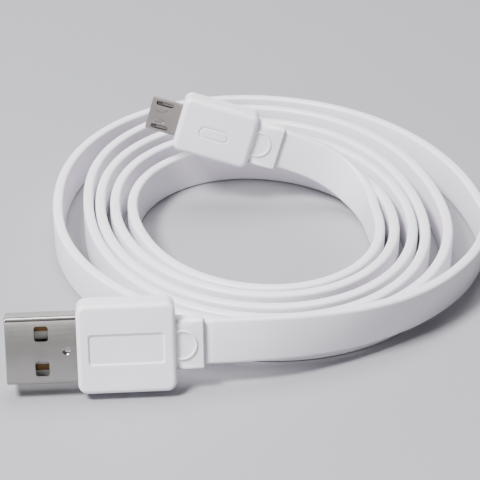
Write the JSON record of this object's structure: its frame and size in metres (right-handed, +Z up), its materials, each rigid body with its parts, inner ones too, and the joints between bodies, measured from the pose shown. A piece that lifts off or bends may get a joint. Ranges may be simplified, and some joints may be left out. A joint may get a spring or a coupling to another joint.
{
  "type": "charging cable",
  "caption": "Flat ribbon charging cable wound in a loose coil, with a USB-A plug at one end and a micro-B plug at the other.",
  "frame": {"origin": "on the floor under the middle of the USB-A plug", "axes": "+X along the USB-A plug from its nose towards the cord, +Z up"},
  "size_m": [0.0932, 0.1054, 0.0236],
  "materials": {
    "white_jacket": "soft satin white elastomer",
    "nickel": "nickel plated folded steel",
    "stainless": "satin stainless sheet",
    "usb_insulator_plastic": "moulded white insulator",
    "micro_insulator_plastic": "moulded black insulator",
    "gold": "gold flash on the contacts",
    "inner_mould": "plain hard inner moulding",
    "wire_red": "red core insulation",
    "wire_white": "white core insulation",
    "wire_green": "green core insulation",
    "wire_black": "black core insulation",
    "copper": "tinned copper strands",
    "solder": "solder beads"
  },
  "bodies": {
    "cable": {"usb_shell": "nickel", "usb_insulator": "usb_insulator_plastic", "usb_contact_vbus": "gold", "usb_contact_dminus": "gold", "usb_contact_dplus": "gold", "usb_contact_gnd": "gold", "usb_wire_red": "wire_red", "usb_wire_white": "wire_white", "usb_wire_green": "wire_green", "usb_wire_black": "wire_black", "usb_wire_cores": "copper", "usb_solder_joints": "solder", "usb_inner_mould": "inner_mould", "usb_overmould": "white_jacket", "usb_strain_relief": "white_jacket", "micro_shell": "stainless", "micro_insulator": "micro_insulator_plastic", "micro_contact_tails": "gold", "micro_latch_roots": "stainless", "micro_wire_red": "wire_red", "micro_wire_white": "wire_white", "micro_wire_green": "wire_green", "micro_wire_black": "wire_black", "micro_solder_joints": "solder", "micro_inner_mould": "inner_mould", "micro_overmould": "white_jacket", "micro_strain_relief": "white_jacket", "cord_usb_lead": "white_jacket", "cord_coil": "white_jacket", "cord_micro_lead": "white_jacket"},
    "latch_lower": {"micro_latch_lower": "stainless"},
    "latch_upper": {"micro_latch_upper": "stainless"},
    "contact_leaves": {"micro_contact_leaves": "gold"}
  },
  "joints": [
    {"name": "latch_lower_press", "type": "hinge", "parent": "cable", "child": "latch_lower", "pos_m": [0.01534, 0.06661, 0.01579], "axis": [0.2925, 0.1453, 0.9452], "range_deg": [-3.5, 0], "stiffness_Nm_per_rad": 0.05},
    {"name": "latch_upper_press", "type": "hinge", "parent": "cable", "child": "latch_upper", "pos_m": [0.01677, 0.06732, 0.02042], "axis": [0.2925, 0.1453, 0.9452], "range_deg": [-3.5, 0], "stiffness_Nm_per_rad": 0.05},
    {"name": "contact_press", "type": "hinge", "parent": "cable", "child": "contact_leaves", "pos_m": [0.01496, 0.06779, 0.01831], "axis": [0.2925, 0.1453, 0.9452], "range_deg": [-2.5, 0], "stiffness_Nm_per_rad": 0.05}
  ]
}
